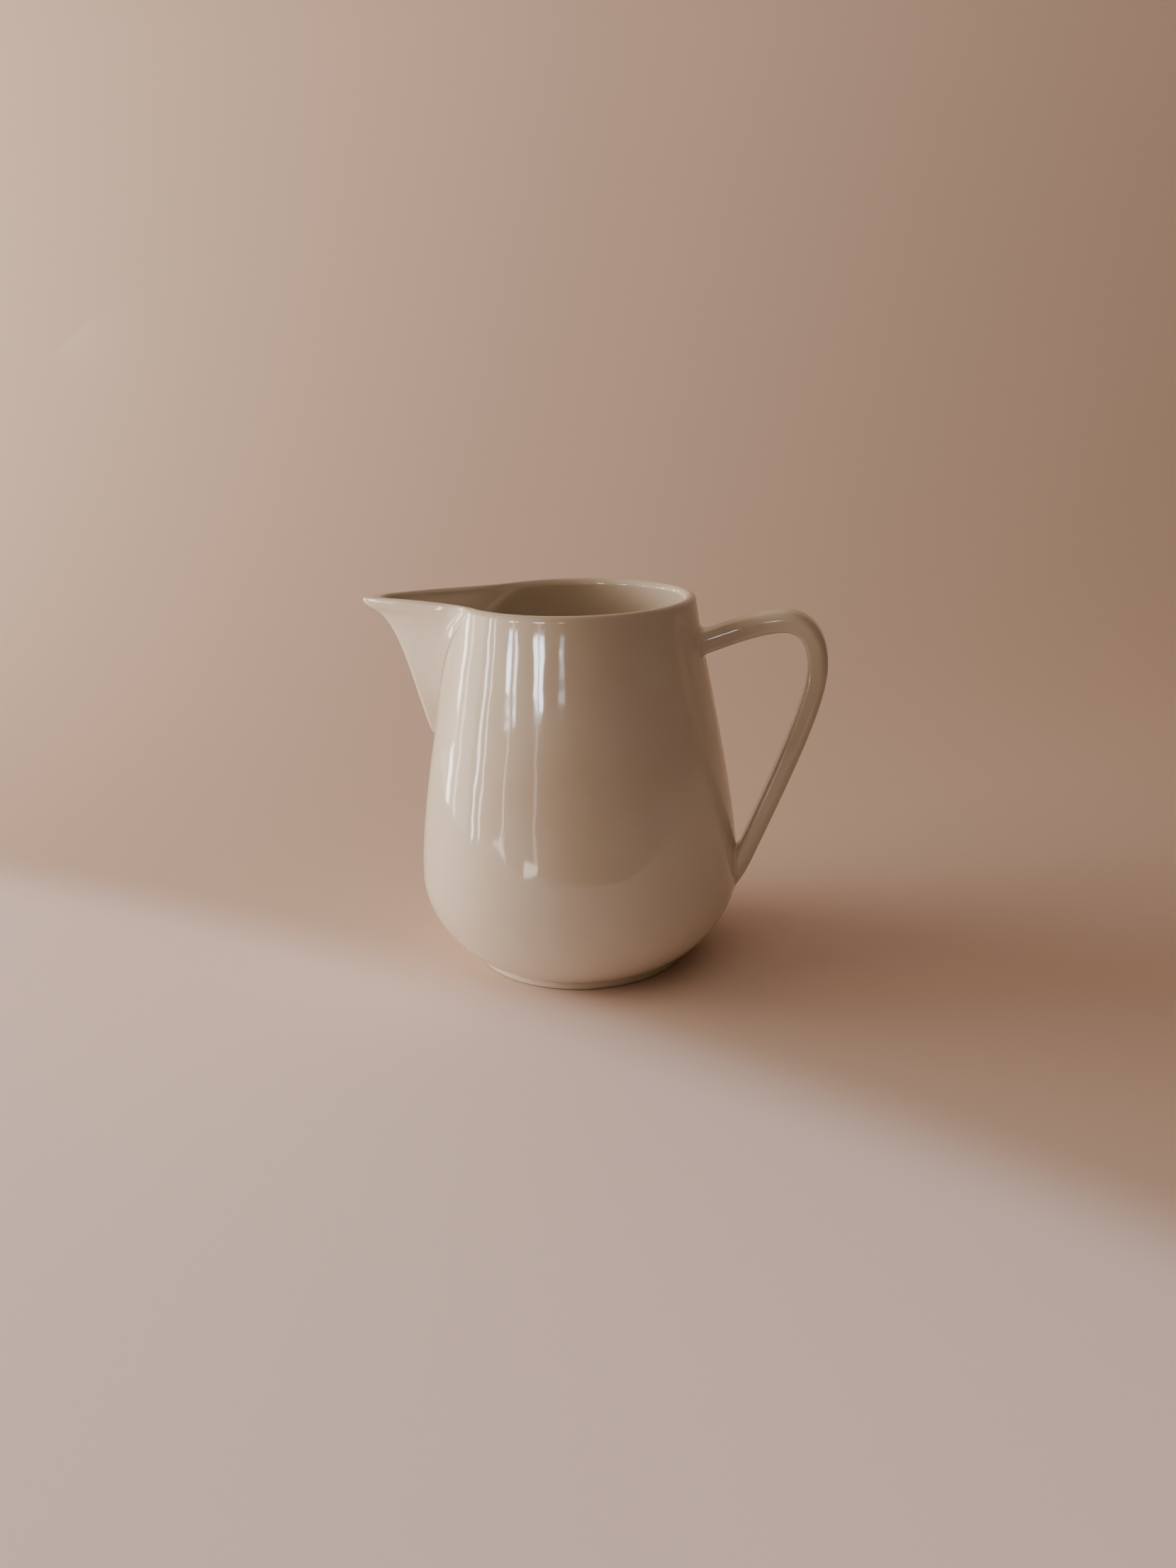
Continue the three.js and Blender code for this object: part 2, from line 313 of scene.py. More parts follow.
spoutShape = {
    "reach": axisX - spoutTip.x / mm,   # tip from the axis
    "foot": 79.5,                # height where the keel leaves the body
    "creaseHalf": 27.5,          # half its width where it meets the rim
    "creasePower": 1.6,          # how fast it widens on the way up
    "footRound": 1.8,            # half-width of its blunt lower end
    "noseRadius": 5.0,           # rounding of the beak at the rim
    "lowNoseRadius": 3.2,        # rounding of the keel low down
    "channelFoot": 84.0,         # height where the channel leaves the inner wall
    "channelHalf": 28.8,         # half the channel's width where it meets the rim
    "channelPower": 1.25,
    "channelOpens": 16,          # mm of height over which the channel deepens
    "channelNose": (2.4, 5.0),   # rounding of its bottom, low down and at the rim
    "channelNoseFrom": (118, 10),   # height where that starts to grow, and mm it takes
    "channelPull": 0.45,         # how far it follows the wall before it turns
    "wall": 4.2,
    "tipLand": 7.0,              # solid clay between the channel and the tip
    "tipLandFrom": (120, 8),     # height where the clay starts to thicken, and mm it takes
    "hookPower": 4,              # the flanks hollow out only near the rim
    "hookStart": math.radians(34),   # how far they turn in from the crease
    "hookEnd": math.radians(5),      # and how far they flare at the nose
    "startPull": (0.3, 0.17),    # pull of the flank's curve at the crease, low down and at the rim
    "endPull": (0.33, 0.75),     # the same at the nose
    "droop": 0.8,                # how far the tip hangs below the rim
    "droopFrom": 0.55,           # share of the flank where it starts to hang
    "lipDrop": 0.95,             # height of the lip's rounded edge outside
    "lipDropInside": (1.1, 2.3),    # the same inside, at the flank and at the tip
    "lipDropFrom": 0.6,
    "lipBlend": 0.14,            # share of the flank where the rim's round turns into the lip
    "lipSquareness": 0.35,
    "rows": 90,
    "flankColumns": 52,
    "noseColumns": 14,
}
reach = spoutShape["reach"]
spoutRise = rimEdge - spoutShape["foot"]
keelLine = outline([
    [(outerRadius(0.0, spoutShape["foot"]), spoutShape["foot"]), (51.9, 79.55), (52.7, 80.3), (53.5, 82.2)],
    [(53.5, 82.2), (59.3, 100.4), (62.5, 121.5), (71.8, 125.4)],
    [(71.8, 125.4), (73.8, 126.2), (reach, 127.3), (reach, 128.6)],
])


# Half-angle of the outer crease: asin(half-width / radius); the half-width grows with a
# power of the height and starts from a rounded foot.
def creaseAngle(height):
    up = np.clip((height - spoutShape["foot"]) / spoutRise, 0, 1)
    footRound = 1 - np.clip(up / 0.05, 0, 1)
    half = spoutShape["creaseHalf"] * up ** spoutShape["creasePower"]
    half = half + spoutShape["footRound"] * np.sqrt(1 - footRound ** 2)
    return np.arcsin(half / outerRadius(0.0, height))


# Depth of the tooled line at a distance from the crease: jointDepth e^-(distance / width)^2,
# which fades out at the spout's foot and under the rim.
def jointLine(distance, height):
    fade = smooth((height - spoutShape["foot"]) / 2) * smooth((rimEdge - height) / 3)
    return vessel["jointDepth"] * np.exp(-(distance / vessel["jointWidth"]) ** 2) * fade


# Half-angle of the edge of the channel on the inner wall; it widens in the same way.
def channelAngle(height):
    up = np.clip((height - spoutShape["channelFoot"]) / (rimEdge - spoutShape["channelFoot"]), 0, 1)
    return np.arcsin(spoutShape["channelHalf"] * up ** spoutShape["channelPower"] / innerRadius(height))


# A half section at one height: a Bezier from the wall to a nose circle, then its arc.
# q runs from 0 at the wall to 1 at the keel; the Bezier takes the share flankShare of it.
def beakSection(q, wallX, wallY, startDirX, startDirY, startPull, endPull, nose, keel, slope):
    flankShare = spoutShape["flankColumns"] / (spoutShape["flankColumns"] + spoutShape["noseColumns"])
    centre = keel - nose
    endX = centre + nose * np.sin(slope)
    endY = nose * np.cos(slope)
    span = np.hypot(endX - wallX, endY - wallY)
    t = np.clip(q / flankShare, 0, 1)
    x = bezier(wallX, wallX + span * startPull * startDirX, endX - span * endPull * np.cos(slope), endX, t)
    y = bezier(wallY, wallY + span * startPull * startDirY, endY + span * endPull * np.sin(slope), endY, t)
    turn = (np.pi / 2 - slope) * (1 - np.clip((q - flankShare) / (1 - flankShare), 0, 1))
    onArc = q > flankShare
    x = np.where(onArc, centre + nose * np.cos(turn), x)
    y = np.where(onArc, nose * np.sin(turn), y)
    return x, y


# Slope of the flank: that of the tangent from the crease to the nose circle.
def flankSlope(wallX, wallY, nose, keel):
    ahead = np.maximum(keel - nose - wallX, 1e-3)
    distance = np.maximum(np.hypot(ahead, wallY), nose * 1.001)
    return np.arctan2(wallY, ahead) - np.arcsin(nose / distance)


# Outer skin of the spout at side q and a height.
def spoutOuter(q, height):
    angle = creaseAngle(height)
    radius = outerRadius(angle, height)
    wallX, wallY = radius * np.cos(angle), radius * np.sin(angle)
    keel = np.interp(height, keelLine[:, 1], keelLine[:, 0])
    up = np.clip((height - spoutShape["foot"]) / spoutRise, 0, 1)
    nose = between((spoutShape["lowNoseRadius"], spoutShape["noseRadius"]), up)
    nose = softLeast(nose, 0.8 * wallY, 0.7 * np.maximum(keel - wallX, 1e-3))
    straight = flankSlope(wallX, wallY, nose, keel)
    hook = up ** spoutShape["hookPower"]
    slope = straight - spoutShape["hookEnd"] * hook
    start = straight + spoutShape["hookStart"] * hook
    x, y = beakSection(q, wallX, wallY, np.cos(start), -np.sin(start),
                       between(spoutShape["startPull"], hook), between(spoutShape["endPull"], hook),
                       nose, keel, slope)
    inward = 1 - jointLine(np.hypot(x - wallX, y - wallY), height) / radius
    return x * inward, y * inward


# Inner skin: it leaves the round inner wall along its own curve and turns into the channel.
def spoutInner(q, height):
    angle = channelAngle(height)
    radius = innerRadius(height)
    wallX, wallY = radius * np.cos(angle), radius * np.sin(angle)
    keel = np.interp(height, keelLine[:, 1], keelLine[:, 0])
    landFrom, landSpan = spoutShape["tipLandFrom"]
    clay = between((spoutShape["wall"], spoutShape["tipLand"]), smooth((height - landFrom) / landSpan))
    opened = smooth((height - spoutShape["channelFoot"]) / spoutShape["channelOpens"])
    keel = radius + np.maximum(keel - clay - radius, 0) * opened
    noseFrom, noseSpan = spoutShape["channelNoseFrom"]
    nose = between(spoutShape["channelNose"], smooth((height - noseFrom) / noseSpan))
    nose = softLeast(nose, 0.7 * wallY, 0.6 * np.maximum(keel - wallX, 1e-3))
    slope = flankSlope(wallX, wallY, nose, keel)
    slope = slope * (1 - 0.1 * np.clip((height - spoutShape["foot"]) / spoutRise, 0, 1) ** 4)
    pull = spoutShape["channelPull"]
    return beakSection(q, wallX, wallY, np.sin(angle), -np.cos(angle), pull, pull, nose, keel, slope)


# Columns across the spout, q from the near crease over the keel to the far one; the
# columns crowd towards the creases, where the skins turn fastest.
def spoutColumns():
    count = spoutShape["flankColumns"] + spoutShape["noseColumns"] + 1
    flank = np.linspace(0, 1, count) ** 1.35
    sides = np.concatenate([np.ones(count), -np.ones(count - 1)])
    return np.concatenate([flank, flank[-2::-1]])[None, :], sides[None, :]


# The rounded edge between an outer and an inner point, in polar terms: the radius and the
# angle follow |cos|^e and the height |sin|^e, so e = 1 is a half circle and less is squarer.
def roundedEdge(outer, inner, crest, power, turn):
    side = np.sign(np.cos(turn)) * np.abs(np.cos(turn)) ** power
    share = (1 - side) / 2
    radius = outer[0] * (1 - share) + inner[0] * share
    angle = outer[1] * (1 - turn / np.pi) + inner[1] * turn / np.pi
    base = outer[2] * (1 - share) + inner[2] * share
    height = base + (crest - base) * np.abs(np.sin(turn)) ** power
    return radius, angle, height


rimTurns = np.linspace(0, np.pi, 18)[1:-1]


# Heights of the rows beside the spout, evenly from a foot to a top that may vary by column.
def rowHeights(low, top):
    return low + (top - low) * np.linspace(0, 1, spoutShape["rows"])[:, None]


# Angles of the columns, by share, from the edge's half-angle round the back to its other side.
def roundFrom(edge, share):
    return edge + (2 * np.pi - 2 * edge) * share


# The body: one grid of columns round the axis, which part on both sides of the spout, and
# rows that run up the outer side, over the rim, down the inner side and across the floor.
def buildBody(materials):
    even = np.linspace(0, 1, vessel["columns"] + 1)[None, :]
    share = even - vessel["crowding"] * np.sin(2 * np.pi * even) / (2 * np.pi)
    lowHeights = outerLine[outerLine[:, 1] < spoutShape["foot"] - vessel["rowGap"], 1][::3]
    sideHeights = rowHeights(spoutShape["foot"], rimEdge)[:, 0]
    innerHeights = rowHeights(spoutShape["channelFoot"], rimEdge)[:, 0]
    bands = []   # radius, angle and height of each band of rows
    under = np.array([[0.0], [vessel["recessRadius"]]])
    bands.append((under, roundFrom(0 * under, share), vessel["footTop"] + vessel["recessRise"]))
    for z in (lowHeights[:, None], sideHeights[:, None]):
        edge = creaseAngle(z)
        angle = roundFrom(edge, share)
        radius = outerRadius(angle, z)
        away = np.minimum(angle, 2 * np.pi - angle) - edge
        bands.append((radius - jointLine(away * radius, z), angle, z))
    outer = (vessel["rimRadius"] + vessel["rimHalf"], creaseAngle(rimEdge), rimEdge)
    inner = (vessel["rimRadius"] - vessel["rimHalf"], channelAngle(rimEdge), rimEdge)
    radius, edge, height = roundedEdge(outer, inner, rimTop, 1.0, rimTurns[:, None])
    bands.append((radius, roundFrom(edge, share), height))
    z = innerHeights[::-1][:, None]
    bands.append((innerRadius(z), roundFrom(channelAngle(z), share), z))
    floorLine = innerLine[innerLine[:, 1] < spoutShape["channelFoot"] - vessel["rowGap"]][::4][::-1]
    bands.append((floorLine[:, :1], roundFrom(0 * floorLine[:, :1], share), floorLine[:, 1:]))
    points = np.concatenate([placePolar(*band) for band in bands])
    rows, columns = points.shape[:2]
    faces = [gridFaces(rows, columns)]
    # the cut sides behind the spout: outer crease rows joined to inner channel rows
    firstSide = len(under) + len(lowHeights)
    outerIds = np.arange(firstSide, firstSide + len(sideHeights))
    lastInner = firstSide + len(sideHeights) + len(rimTurns) + len(innerHeights) - 1
    innerIds = np.arange(lastInner, lastInner - len(innerHeights), -1)
    faces += cutSides(points, outerIds, innerIds)
    piece = makePiece("pitcherBody", points, np.concatenate(faces), materials)
    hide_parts("vessel_body")
    return piece


# Joins the outer and inner edge of a parted grid through the wall, on both sides, and caps
# the end of the rounded rim with strips across it, from its outer to its inner half.
def cutSides(points, outerIds, innerIds):
    columns = points.shape[1]
    faces = []
    rimIds = np.arange(outerIds[-1], innerIds[-1] + 1)
    half = len(rimIds) // 2
    for column in (0, columns - 1):
        a = np.concatenate([outerIds, rimIds[1:half]]) * columns + column
        b = np.concatenate([innerIds, rimIds[::-1][1:half]]) * columns + column
        faces.append(np.stack([a[:-1], a[1:], b[1:], b[:-1]], -1))
    return faces


# The spout: one grid whose rows run up the outer skin, over the lip and down the channel, and
# whose columns run from the near crease over the keel to the far one.
def buildSpout(materials):
    q, side = spoutColumns()
    lip = smooth(q / spoutShape["lipBlend"])
    droopFrom, dropFrom = spoutShape["droopFrom"], spoutShape["lipDropFrom"]
    crest = rimTop - spoutShape["droop"] * smooth((q - droopFrom) / (1 - droopFrom))
    inside = between(spoutShape["lipDropInside"], smooth((q - dropFrom) / (1 - dropFrom)))
    outerTop = crest - between((vessel["rimHalf"], spoutShape["lipDrop"]), lip)
    innerTop = crest - between((vessel["rimHalf"], inside), lip)
    z = rowHeights(spoutShape["foot"], outerTop)
    x, y = spoutOuter(q + 0 * z, z)
    outerPolar = (np.hypot(x, y), np.arctan2(y, x), z)
    zIn = rowHeights(spoutShape["channelFoot"], innerTop)
    x, y = spoutInner(q + 0 * zIn, zIn)
    innerPolar = (np.hypot(x, y), np.arctan2(y, x), zIn)
    outerEdge = tuple(k[-1:] for k in outerPolar)
    innerEdge = tuple(k[-1:] for k in innerPolar)
    power = 1 - spoutShape["lipSquareness"] * lip
    edge = roundedEdge(outerEdge, innerEdge, crest, power, rimTurns[:, None])
    grid = [np.concatenate([o, e, i[::-1]]) for o, e, i in zip(outerPolar, edge, innerPolar)]
    points = placePolar(grid[0], grid[1] * side, grid[2])
    rows, columns = points.shape[:2]
    outerIds = np.arange(spoutShape["rows"])
    innerIds = np.arange(rows - 1, rows - 1 - spoutShape["rows"], -1)
    faces = np.concatenate([gridFaces(rows, columns)] + cutSides(points, outerIds, innerIds))
    piece = makePiece("beakSpout", points, faces, materials)
    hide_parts("spout")
    return piece


strap = {
    "width": 12.0,
    "topFlare": 1.6,       # extra width at the upper root
    "thickTop": 6.9,
    "thickBottom": 5.7,
    "outerCorner": 2.7,    # rounding towards the palm
    "innerCorner": 1.5,    # rounding towards the fingers
    "crown": 0.35,         # swell of the outer face
    "flareLength": 0.12,   # share of the strap over which that width fades
    "rings": 170,
    "cornerPoints": 9,
    "sidePoints": 5,
    "outerStand": 3.6,     # half its thickness and its crown where it reaches out most
    "outerMost": handleHigh.x / mm - axisX,
}
strapReach = strap["outerMost"] - strap["outerStand"]
strapLine = outline([
    [(42.5, 113.9), (56, 118.9), (64.5, 122), (71.8, 122)],
    [(71.8, 122), (78.9, 122), (strapReach, 115.5), (strapReach, 107)],
    [(strapReach, 107), (strapReach, 95.3), (73.2, 72.5), (59.4, 39.5)],
    [(59.4, 39.5), (57.2, 34.2), (54.5, 29), (49.5, 24.5)],
], 200)


# Points of the strap at places p (0 to 1) along its line, as (places, section points, 3),
# with the outward normals of the section. A section is a rounded rectangle: corner arcs
# joined by straight sides, with the outer side swollen by crown (1 - (across / half)^2).
def strapSurface(p):
    steps = np.hypot(*np.diff(strapLine, axis=0).T)
    length = np.concatenate([[0], np.cumsum(steps)])
    x = np.interp(p * length[-1], length, strapLine[:, 0])
    z = np.interp(p * length[-1], length, strapLine[:, 1])
    direction = np.gradient(strapLine, axis=0)
    dx = np.interp(p * length[-1], length, direction[:, 0])
    dz = np.interp(p * length[-1], length, direction[:, 1])
    norm = np.hypot(dx, dz)
    dx, dz = dx / norm, dz / norm
    width = strap["width"] + strap["topFlare"] * (1 - smooth(p / strap["flareLength"]))
    thick = between((strap["thickTop"], strap["thickBottom"]), p)
    across, out, normalAcross, normalOut = strapSection(width[:, None], thick[:, None])
    points = np.stack([x[:, None] - dz[:, None] * out, across, z[:, None] + dx[:, None] * out], -1)
    normals = np.stack([-dz[:, None] * normalOut, normalAcross, dx[:, None] * normalOut], -1)
    return points, normals, length[-1]


# Rounded rectangle of a width and thickness: four corner arcs, centre + radius (cos, sin),
# and the straight runs between them, with the normals of both.
def strapSection(width, thick):
    big, small = strap["outerCorner"], strap["innerCorner"]
    arc = np.linspace(0, np.pi / 2, strap["cornerPoints"])
    run = np.linspace(0, 1, strap["sidePoints"] + 2)[1:-1]
    parts = []
    centres = [
        (width / 2 - big, thick / 2 - big, big, 0),
        (big - width / 2, thick / 2 - big, big, 1),
        (small - width / 2, small - thick / 2, small, 2),
        (width / 2 - small, small - thick / 2, small, 3),
    ]
    for cx, cy, radius, quarter in centres:
        angle = (arc + quarter * np.pi / 2)[None, :]
        parts.append((cx + radius * np.cos(angle), cy + radius * np.sin(angle),
                      np.cos(angle) + 0 * cx, np.sin(angle) + 0 * cx))
    stores = ([], [], [], [])
    for k in range(4):
        for store, start, end in zip(stores, parts[k], parts[(k + 1) % 4]):
            store.append(start)
            store.append(start[:, -1:] * (1 - run) + end[:, :1] * run)
    across, out, normalAcross, normalOut = [np.concatenate(store, 1) for store in stores]
    swell = strap["crown"] * np.clip(1 - (2 * across / width) ** 2, 0, 1)
    out = out + np.where(out > 0, swell, 0)
    return across, out, normalAcross, normalOut


# Millimetres from the body's axis to metres in the frame.
def toFrame(points):
    return (points + np.array([axisX, 0, 0])) * mm


# The handle: rings of its section along the strap, closed at each end by a ring shrunk to a point.
def buildHandle(materials):
    points = strapSurface(np.linspace(0, 1, strap["rings"]))[0]
    ends = [0 * points[:1] + points[k].mean(0) for k in (0, -1)]
    grid = toFrame(np.concatenate([ends[0], points, ends[1]]))
    piece = makePiece("strapHandle", grid, gridFaces(len(grid), grid.shape[1], closeColumns=True), materials)
    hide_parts("handle")
    return piece


slip = {
    "upperReach": 2.7,     # mm that the fillet spreads along the strap and over the body
    "lowerReach": 2.9,
    "rows": 12,
    "search": 0.3,         # share of the strap in which its root is looked for
    "searchSteps": 900,
    "sunk": 0.05,          # mm that its edges dip under the skins they meet
    "buried": 0.9,
}


# A fillet of slip round one root: for each line along the strap the corner where it meets the
# body, then a quadratic Bezier from the strap over that corner onto the body:
# (1-t)^2 onStrap + 2(1-t)t corner + t^2 onBody. Its hidden back lies inside strap and wall.
def buildFillet(name, node, fromTop, reachOut, materials):
    share = np.linspace(0, slip["search"], slip["searchSteps"])
    places = share if fromTop else 1 - share
    points, normals, length = strapSurface(places)
    clear = np.hypot(points[..., 0], points[..., 1]) - outerAt(points)
    first = np.argmax(clear > 0, axis=0)
    columns = np.arange(points.shape[1])
    corner = points[first, columns]
    stepsOut = int(round(reachOut / (slip["search"] * length) * slip["searchSteps"]))
    ahead = np.minimum(first + stepsOut, len(places) - 1)
    onStrap = points[ahead, columns] - slip["sunk"] * normals[ahead, columns]
    normal = normals[first, columns]
    wallNormal = bodyNormal(corner)
    spread = normal - (normal * wallNormal).sum(-1, keepdims=True) * wallNormal
    spread /= np.linalg.norm(spread, axis=-1, keepdims=True)
    onBody = ontoBody(corner + reachOut * spread, slip["sunk"])
    t = np.linspace(0, 1, slip["rows"])[:, None, None]
    skin = (1 - t) ** 2 * onStrap + 2 * (1 - t) * t * corner + t ** 2 * onBody
    deep = slip["buried"]
    back = np.stack([
        ontoBody(onBody, deep),
        corner - deep * wallNormal - deep * normal,
        onStrap - deep * normals[ahead, columns],
    ])
    grid = toFrame(np.concatenate([skin, back]))
    rows, count = grid.shape[:2]
    piece = makePiece(name, grid, gridFaces(rows, count, closeRows=True, closeColumns=True), materials)
    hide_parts(node)
    return piece


# Outer radius of the body at each point of an array of places about the axis.
def outerAt(points):
    angle = np.arctan2(points[..., 1], -points[..., 0])
    return outerRadius(angle, points[..., 2])


# The nearest place on the body at the same angle and height, sunk a little under its skin.
def ontoBody(points, depth):
    radius = outerAt(points) - depth
    scale = radius / np.hypot(points[..., 0], points[..., 1])
    return np.stack([points[..., 0] * scale, points[..., 1] * scale, points[..., 2]], -1)


# Outward normal of the body: (cos, sin, -dr/dz) made unit length.
def bodyNormal(points):
    across = np.hypot(points[..., 0], points[..., 1])
    angle = np.arctan2(points[..., 1], -points[..., 0])
    slope = (outerRadius(angle, points[..., 2] + 0.5) - outerRadius(angle, points[..., 2] - 0.5))
    normal = np.stack([points[..., 0] / across, points[..., 1] / across, -slope], -1)
    return normal / np.linalg.norm(normal, axis=-1, keepdims=True)


# The foot ring: its profile turned once round; the lowest band is left bare.
def buildFootRing(materials):
    profile = np.array(foot["profile"])
    angle = np.linspace(0, 2 * np.pi, foot["columns"], endpoint=False)[None, :]
    grid = placePolar(profile[:, :1] + 0 * angle, angle, profile[:, 1:])
    rows, columns = grid.shape[:2]
    faces = gridFaces(rows, columns, closeRows=True, closeColumns=True)
    level = profile[:, 1][(faces // columns)].max(1)
    bare = (level <= foot["bareHeight"]).astype(int)
    piece = makePiece("footRing", grid, faces, materials, bare, 60)
    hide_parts("foot_ring")
    return piece


porcelain = glazedPorcelain()
biscuit = unglazedBiscuit()
print("materials made")
pieces = [
    (buildBody([porcelain]), "glazed_porcelain"),
    (buildSpout([porcelain]), "glazed_porcelain"),
    (buildHandle([porcelain]), "glazed_porcelain"),
    (buildFillet("upperSlipJoint", "handle_upper_slip_joint", True, slip["upperReach"], [porcelain]),
     "glazed_porcelain"),
    (buildFillet("lowerSlipJoint", "handle_lower_slip_joint", False, slip["lowerReach"], [porcelain]),
     "glazed_porcelain"),
    (buildFootRing([porcelain, biscuit]), "foot_clay"),
]
for piece, slotName in pieces:
    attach(piece, "root")
print("pieces made:", len(pieces))

studio = {
    "turn": math.radians(10),       # the spout points this far from square to the camera
    "cameraPlace": (3.42, -434.4, 200.9),   # mm from the axis, before that turn
    "cameraDown": math.radians(17.691),
    "cameraRoll": math.radians(-1.245),
    "lens": 29.295,
    "paperColour": "#e2cdbd",
    "paperLeft": -0.42,             # edges of the sheet on the table, metres from the axis
    "paperFront": -0.285,
    "paperRight": 1.3,
    "wallAt": 0.85,
    "wallRadius": 0.5,
    "roomColour": "#b09176",
    "roomBrightness": 0.1,
}
# name, azimuth, distance, width, low, high, brightness, colour
roomPanels = [
    ("curtain", -92, 1.4, 1.7, -0.2, 1.0, 3.8, "#ffdbbd"),
    ("windowGlow", -100, 1.3, 0.8, -0.2, 0.6, 9.4, "#f5f4f4"),
    ("roomFront", -15, 1.5, 2.0, 0.3, 1.8, 0.4, "#b09176"),
]
# narrow windows and the strips of light between curtains, which only the glaze mirrors
windowPanels = [
    ("sheenLeft", -112, 1.4, 1.3, -0.3, 0.6, 2.0, "#ffeedd"),
    ("windowFar1", -150, 0.9, 0.035, -0.2, 0.45, 10, "#fff2e0"),
    ("windowFar2", -136, 1.0, 0.05, -0.2, 0.45, 8, "#fff2e0"),
    ("windowL1", -112.5, 1.35, 0.11, -0.2, 0.45, 16, "#fff2e0"),
    ("windowL2", -103, 1.35, 0.06, -0.2, 0.45, 7, "#fff2e0"),
    ("windowA1", -81, 1.35, 0.05, -0.2, 0.45, 20, "#fbf8f4"),
    ("windowA2", -75, 1.35, 0.03, -0.2, 0.45, 16, "#fff2e0"),
    ("windowB1", -58, 1.35, 0.09, 0.213, 0.36, 36, "#f4f6ff"),
    ("windowB2", -52, 1.35, 0.06, 0.22, 0.36, 22, "#f4f6ff"),
    ("windowB3", -55.5, 1.35, 0.03, -0.1, 0.213, 7, "#fff2e0"),
    ("windowC1", -33.3, 1.35, 0.085, 0.265, 0.38, 36, "#f4f6ff"),
    ("windowC2", -28.8, 1.35, 0.085, 0.265, 0.38, 36, "#f4f6ff"),
    ("windowC3", -31, 1.35, 0.05, -0.1, 0.265, 3, "#fff2e0"),
    ("windowD", -11.2, 1.35, 0.10, 0.315, 0.38, 30, "#f4f6ff"),
    ("gardenB", -57, 1.35, 0.2, -0.125, -0.09, 9, "#fff2e0"),
    ("gardenC", -34, 1.35, 0.2, -0.165, -0.10, 9, "#fff2e0"),
]
turned = Matrix.Rotation(studio["turn"], 4, "Z")
aboutAxis = Matrix.Translation((axisX * mm, 0, 0)) @ turned


# The camera: its axes are built from the way it looks down and its small roll.
def addCamera():
    down, roll = studio["cameraDown"], studio["cameraRoll"]
    right = np.array([1.0, 0, 0])
    up = np.array([0, math.sin(down), math.cos(down)])
    back = np.array([0, -math.cos(down), math.sin(down)])
    rolledRight = math.cos(roll) * right + math.sin(roll) * up
    rolledUp = -math.sin(roll) * right + math.cos(roll) * up
    data = bpy.data.cameras.new("camera")
    data.lens = studio["lens"]
    data.sensor_width = 36
    data.clip_start = 0.01
    camera = bpy.data.objects.new("camera", data)
    axes = Matrix([list(k) for k in zip(rolledRight, rolledUp, back)]).to_4x4()
    place = Matrix.Translation([k * mm for k in studio["cameraPlace"]])
    camera.matrix_world = aboutAxis @ place @ axes
    bpy.context.scene.collection.objects.link(camera)
    bpy.context.scene.camera = camera


# Seamless paper: a sheet that lies flat under the jug and curves up into a wall behind it.
def addPaper():
    material, tree = newMaterial("backdropPaper")
    shader = addNode(tree, "ShaderNodeBsdfPrincipled", {
        "Base Color": linear(studio["paperColour"]), "Roughness": 0.9})
    addNode(tree, "ShaderNodeOutputMaterial", {"Surface": shader.outputs["BSDF"]})
    turn = np.linspace(0, np.pi / 2, 24)
    radius = studio["wallRadius"]
    y = np.concatenate([[studio["paperFront"]], studio["wallAt"] - radius + radius * np.sin(turn),
                        [studio["wallAt"]]])
    z = np.concatenate([[0], radius - radius * np.cos(turn), [1.8]])
    left = np.where(np.arange(len(y)) < 2, studio["paperLeft"], -1.3)
    points = np.stack([np.stack([left, 0 * y + studio["paperRight"]], 1),
                       np.stack([y, y], 1), np.stack([z, z], 1)], -1)
    mesh = bpy.data.meshes.new("paper")
    mesh.from_pydata(points.reshape(-1, 3).tolist(), [], gridFaces(len(y), 2).tolist())
    mesh.shade_smooth()
    mesh.materials.append(material)
    paper = bpy.data.objects.new("paper", mesh)
    paper.matrix_world = aboutAxis
    bpy.context.scene.collection.objects.link(paper)


# An upright light panel that faces the jug. Its azimuth is in degrees from the camera's side,
# less than 0 to the left; its height runs from low to high, in metres above the table.
def addPanel(name, azimuth, distance, width, low, high, brightness, colour, onlyInGlaze=False):
    data = bpy.data.lights.new(name, "AREA")
    data.shape = "RECTANGLE"
    data.size, data.size_y = width, high - low
    data.energy = brightness * math.pi * width * (high - low)
    data.color = linear(colour)[:3]
    panel = bpy.data.objects.new(name, data)
    turn = math.radians(azimuth)
    away = np.array([math.sin(turn), -math.cos(turn), 0])
    right = np.cross([0, 0, 1.0], away)
    axes = Matrix([list(k) for k in zip(right, (0, 0, 1), away)]).to_4x4()
    place = Matrix.Translation((away * distance + np.array([0, 0, (low + high) / 2])).tolist())
    panel.matrix_world = aboutAxis @ place @ axes
    panel.visible_glossy = onlyInGlaze
    panel.visible_diffuse = not onlyInGlaze
    panel.visible_camera = False
    bpy.context.scene.collection.objects.link(panel)


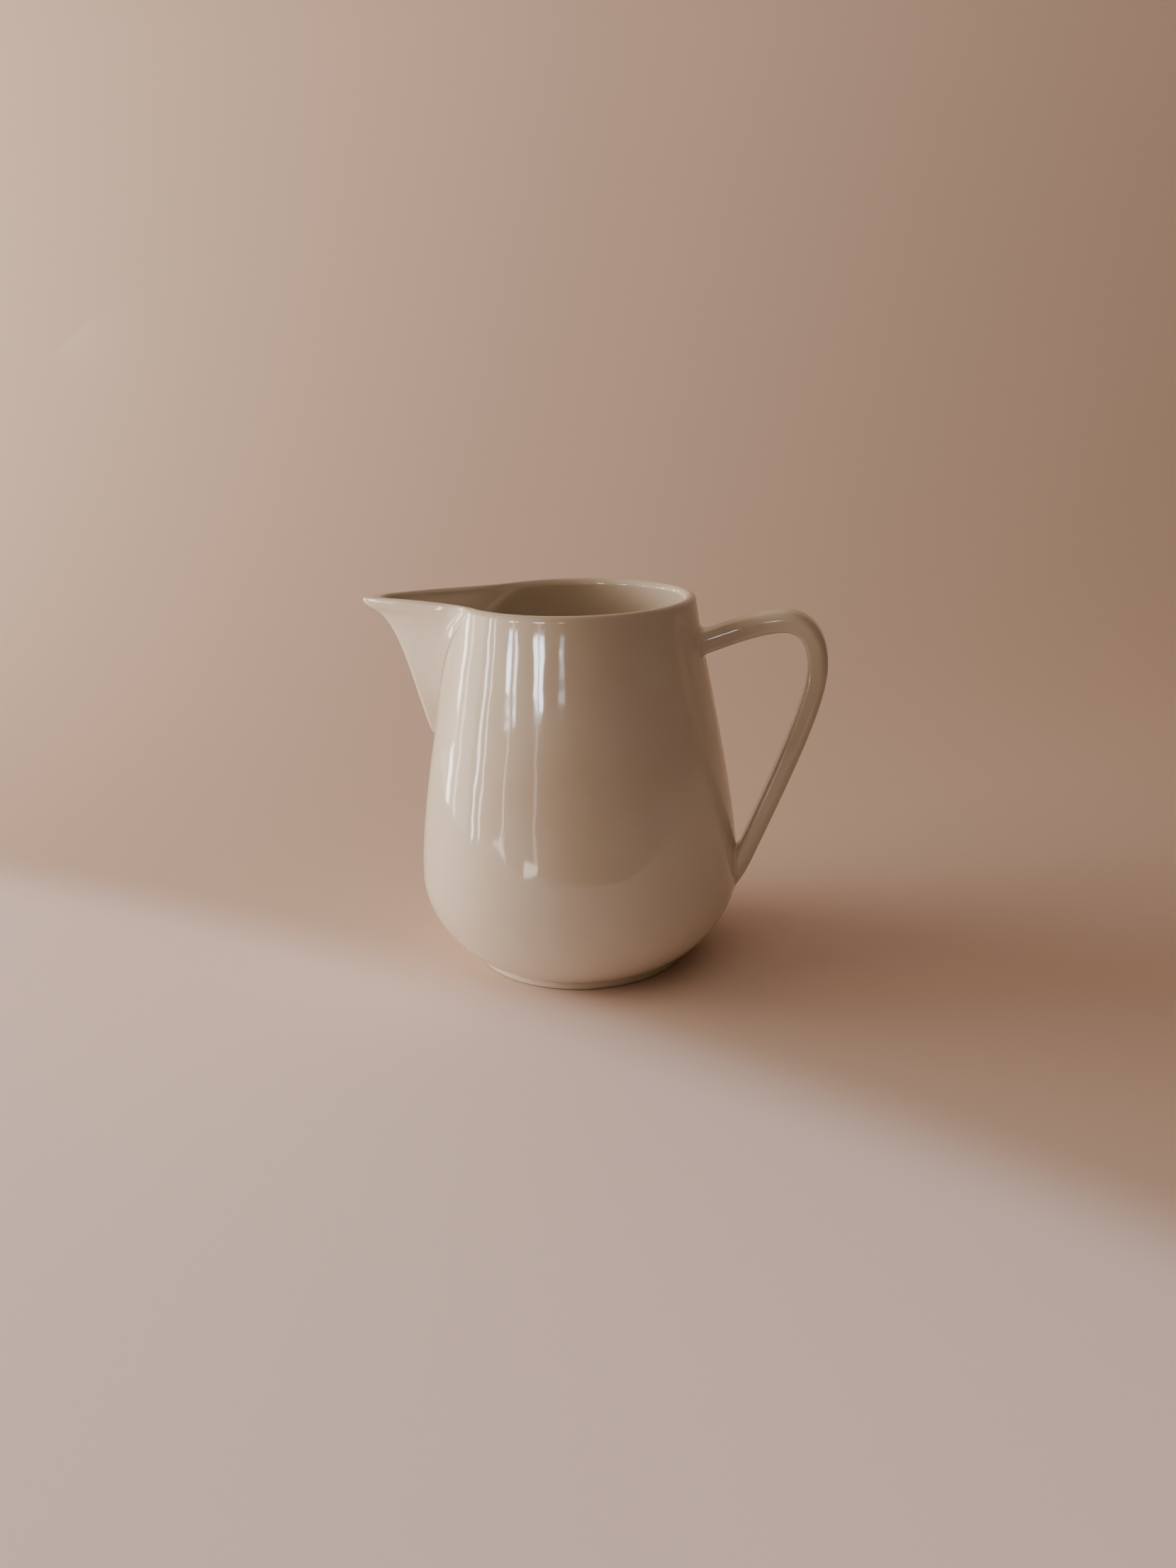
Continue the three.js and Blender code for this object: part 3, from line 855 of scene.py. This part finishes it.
# A level square panel that shines down on the table, its middle beside, before and above the jug.
def addCeiling(beside, before, height, side, brightness, colour):
    data = bpy.data.lights.new("ceiling", "AREA")
    data.size = side
    data.energy = brightness * math.pi * side ** 2
    data.color = linear(colour)[:3]
    panel = bpy.data.objects.new("ceiling", data)
    panel.matrix_world = aboutAxis @ Matrix.Translation((beside, -before, height))
    panel.visible_glossy = False
    panel.visible_camera = False
    bpy.context.scene.collection.objects.link(panel)


# A wide beam from high on one side, which lights the table up to a soft line beside the jug:
# it leans so far that the near side of its cone meets the table at edge, in metres.
def addSkyBeam(azimuth, away, height, edge, halfAngle, blend, brightness, colour):
    data = bpy.data.lights.new("skyBeam", "SPOT")
    data.energy = brightness * 4 * math.pi * (away ** 2 + height ** 2)
    data.color = linear(colour)[:3]
    data.spot_size = 2 * math.radians(halfAngle)
    data.spot_blend = blend
    data.shadow_soft_size = 0.012
    beam = bpy.data.objects.new("skyBeam", data)
    turn = math.radians(azimuth)
    rise = math.atan2(height, away - edge) + math.radians(halfAngle)
    level = np.array([math.sin(turn), -math.cos(turn), 0])
    back = level * math.cos(rise) + np.array([0, 0, math.sin(rise)])
    right = np.cross([0, 0, 1.0], level)
    axes = Matrix([list(k) for k in zip(right, np.cross(back, right), back)]).to_4x4()
    place = Matrix.Translation((level * away + np.array([0, 0, height])).tolist())
    beam.matrix_world = aboutAxis @ place @ axes
    beam.visible_glossy = False
    bpy.context.scene.collection.objects.link(beam)


# The dim room all round, one even colour.
def addWorld():
    world = bpy.data.worlds.new("room")
    world.use_nodes = True
    background = world.node_tree.nodes["Background"]
    background.inputs["Color"].default_value = linear(studio["roomColour"])
    background.inputs["Strength"].default_value = studio["roomBrightness"]
    bpy.context.scene.world = world


addCamera()
addPaper()
addSkyBeam(azimuth=-34, away=2.4, height=1.9, edge=0.045, halfAngle=40, blend=0.006,
           brightness=1.9, colour="#dde6ff")
addCeiling(beside=0.15, before=0.5, height=1.6, side=1.4, brightness=0.85, colour="#ffe0cc")
for panel in roomPanels:
    addPanel(*panel)
for panel in windowPanels:
    addPanel(*panel, onlyInGlaze=True)
addWorld()
print("studio made")
